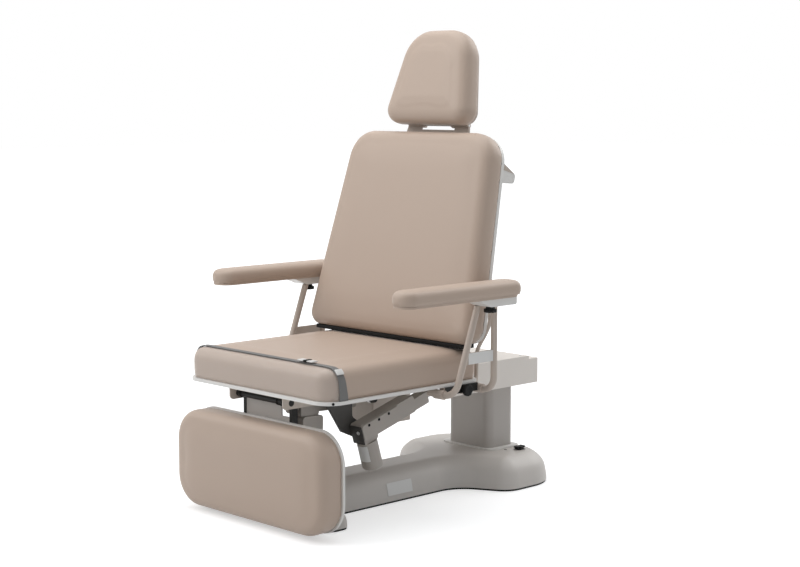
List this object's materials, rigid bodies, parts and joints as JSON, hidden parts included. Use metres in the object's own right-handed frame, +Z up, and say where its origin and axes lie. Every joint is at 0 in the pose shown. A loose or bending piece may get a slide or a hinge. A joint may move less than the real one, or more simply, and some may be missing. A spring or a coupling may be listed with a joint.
{
  "type": "procedure chair",
  "caption": "Powered procedure chair: padded seat, reclining back with head rest, folding leg rest and swivel arm pads on a telescoping column with a low T-shaped base.",
  "frame": {"origin": "on the floor, on the vertical axis of the lifting column", "axes": "+Z up, the sitter faces -Y, +X is the sitter's left"},
  "size_m": [0.9142, 1.141, 1.4564],
  "materials": {
    "upholstery": "smooth stretched vinyl, soft satin",
    "frame_paint": "taupe powder coat, satin",
    "pale_shell": "pale grey moulded panel",
    "base_shell": "grey taupe moulded cover, satin",
    "column_paint": "grey taupe powder coat",
    "black_steel": "black powder coat",
    "black_plastic": "black moulded plastic",
    "charcoal": "charcoal paint",
    "drive_shell": "taupe moulded drive housing",
    "bright_steel": "ground steel",
    "clear_sheet": "clear flexible guard",
    "grey_band": "woven grey band"
  },
  "bodies": {
    "base": {"base_plate": "black_steel", "base_cover": "base_shell", "front_foot_cover": "base_shell", "column_outer": "column_paint", "column_trim": "pale_shell", "lift_screw": "bright_steel", "pedal_housing": "black_plastic"},
    "lift_stage": {"column_middle": "column_paint", "lift_guide": "bright_steel"},
    "seat": {"column_inner": "column_paint", "head_box": "frame_paint", "head_lid": "frame_paint", "head_rear_cover": "frame_paint", "seat_frame": "frame_paint", "seat_plate": "pale_shell", "seat_cushion": "upholstery", "seat_front_cover": "clear_sheet", "cover_band": "grey_band", "control_box": "frame_paint", "actuator_bracket": "charcoal", "leg_actuator_bracket": "charcoal", "arm_receiver_left": "black_steel", "arm_receiver_right": "black_steel"},
    "pedal": {"foot_pedal": "black_plastic"},
    "backrest": {"back_shaft": "bright_steel", "back_arm_left": "frame_paint", "back_arm_right": "frame_paint", "back_panel": "pale_shell", "back_cushion": "upholstery", "push_handle": "pale_shell", "headrest_channel": "black_steel"},
    "back_drive": {"back_actuator_housing": "drive_shell", "back_actuator_motor": "drive_shell", "back_actuator_cover": "drive_shell"},
    "back_drive_rod": {"back_actuator_rod": "bright_steel"},
    "headrest_carrier": {"headrest_fork": "black_steel", "headrest_pin": "bright_steel"},
    "headrest": {"headrest_board": "black_steel", "headrest_cushion": "upholstery"},
    "legrest": {"leg_shaft": "bright_steel", "leg_rail_left": "black_steel", "leg_rail_right": "black_steel", "leg_panel": "pale_shell", "leg_board": "pale_shell", "leg_cushion": "upholstery"},
    "leg_drive_rod": {"leg_actuator_rod": "bright_steel"},
    "leg_drive": {"leg_actuator_housing": "drive_shell", "leg_actuator_motor": "drive_shell"},
    "arm_left": {"arm_frame_left": "frame_paint", "arm_plate_left": "pale_shell"},
    "arm_pad_left": {"arm_board_left": "black_steel", "arm_cushion_left": "upholstery"},
    "pad_knob_left": {"pad_knob_left": "black_plastic"},
    "clamp_knob_left": {"clamp_knob_left": "black_plastic"},
    "arm_right": {"arm_frame_right": "frame_paint", "arm_plate_right": "pale_shell"},
    "arm_pad_right": {"arm_board_right": "black_steel", "arm_cushion_right": "upholstery"},
    "pad_knob_right": {"pad_knob_right": "black_plastic"},
    "clamp_knob_right": {"clamp_knob_right": "black_plastic"}
  },
  "joints": [
    {"name": "stage_lift", "type": "slide", "parent": "base", "child": "lift_stage", "axis": [0, 0, 1], "range_m": [0, 0.21]},
    {"name": "seat_lift", "type": "slide", "parent": "lift_stage", "child": "seat", "axis": [0, 0, 1], "range_m": [0, 0.21]},
    {"name": "pedal_rock", "type": "hinge", "parent": "base", "child": "pedal", "pos_m": [0.158, 0.018, 0.107], "axis": [1, 0, 0], "range_deg": [-8, 8], "stiffness_Nm_per_rad": 1.2},
    {"name": "recline", "type": "hinge", "parent": "seat", "child": "backrest", "pos_m": [0, -0.402, 0.372], "axis": [-1, 0, 0], "range_deg": [0, 62]},
    {"name": "back_drive_swing", "type": "hinge", "parent": "seat", "child": "back_drive", "pos_m": [0.16, -0.677, 0.258], "axis": [-1, 0, 0], "range_deg": [-0.2, 8.5]},
    {"name": "back_drive_stroke", "type": "slide", "parent": "back_drive", "child": "back_drive_rod", "axis": [0, 0.9576, 0.2882], "range_m": [-0.0553, 0.001]},
    {"name": "headrest_slide", "type": "slide", "parent": "backrest", "child": "headrest_carrier", "axis": [0, 0.2504, 0.9681], "range_m": [0, 0.1]},
    {"name": "headrest_tilt", "type": "hinge", "parent": "headrest_carrier", "child": "headrest", "pos_m": [0, -0.2008, 1.16075], "axis": [-1, 0, 0], "range_deg": [-10, 35]},
    {"name": "leg_raise", "type": "hinge", "parent": "seat", "child": "legrest", "pos_m": [0, -0.93, 0.372], "axis": [-1, 0, 0], "range_deg": [0, 90]},
    {"name": "leg_drive_swing", "type": "hinge", "parent": "seat", "child": "leg_drive_rod", "pos_m": [0.08, -0.575, 0.335], "axis": [1, 0, 0], "range_deg": [-0.2, 3.2]},
    {"name": "leg_drive_stroke", "type": "slide", "parent": "leg_drive_rod", "child": "leg_drive", "axis": [0, -0.9994, 0.0355], "range_m": [-0.001, 0.056]},
    {"name": "arm_slide_left", "type": "slide", "parent": "seat", "child": "arm_left", "axis": [1, 0, 0], "range_m": [0, 0.025]},
    {"name": "arm_swivel_left", "type": "hinge", "parent": "arm_left", "child": "arm_pad_left", "pos_m": [0.412, -0.4, 0.646], "axis": [0, 0, -1], "range_deg": [-6, 30]},
    {"name": "pad_knob_turn_left", "type": "hinge", "parent": "arm_pad_left", "child": "pad_knob_left", "pos_m": [0.412, -0.4, 0.626], "axis": [0, 0, -1], "continuous": true},
    {"name": "clamp_turn_left", "type": "hinge", "parent": "seat", "child": "clamp_knob_left", "pos_m": [0.335, -0.43, 0.377], "axis": [1, 0, 0], "continuous": true},
    {"name": "arm_slide_right", "type": "slide", "parent": "seat", "child": "arm_right", "axis": [-1, 0, 0], "range_m": [0, 0.025]},
    {"name": "arm_swivel_right", "type": "hinge", "parent": "arm_right", "child": "arm_pad_right", "pos_m": [-0.412, -0.4, 0.646], "axis": [0, 0, 1], "range_deg": [-6, 30]},
    {"name": "pad_knob_turn_right", "type": "hinge", "parent": "arm_pad_right", "child": "pad_knob_right", "pos_m": [-0.412, -0.4, 0.626], "axis": [0, 0, -1], "continuous": true},
    {"name": "clamp_turn_right", "type": "hinge", "parent": "seat", "child": "clamp_knob_right", "pos_m": [-0.335, -0.43, 0.377], "axis": [-1, 0, 0], "continuous": true}
  ],
  "couplings": [
    {"joint": "stage_lift", "follows": "seat_lift", "ratio": 1},
    {"joint": "back_drive_swing", "follows": "recline", "ratio": 0.13058},
    {"joint": "back_drive_stroke", "follows": "recline", "m_per_rad": -0.050186},
    {"joint": "leg_drive_swing", "follows": "leg_raise", "ratio": 0.02826},
    {"joint": "leg_drive_stroke", "follows": "leg_raise", "m_per_rad": 0.034666}
  ]
}
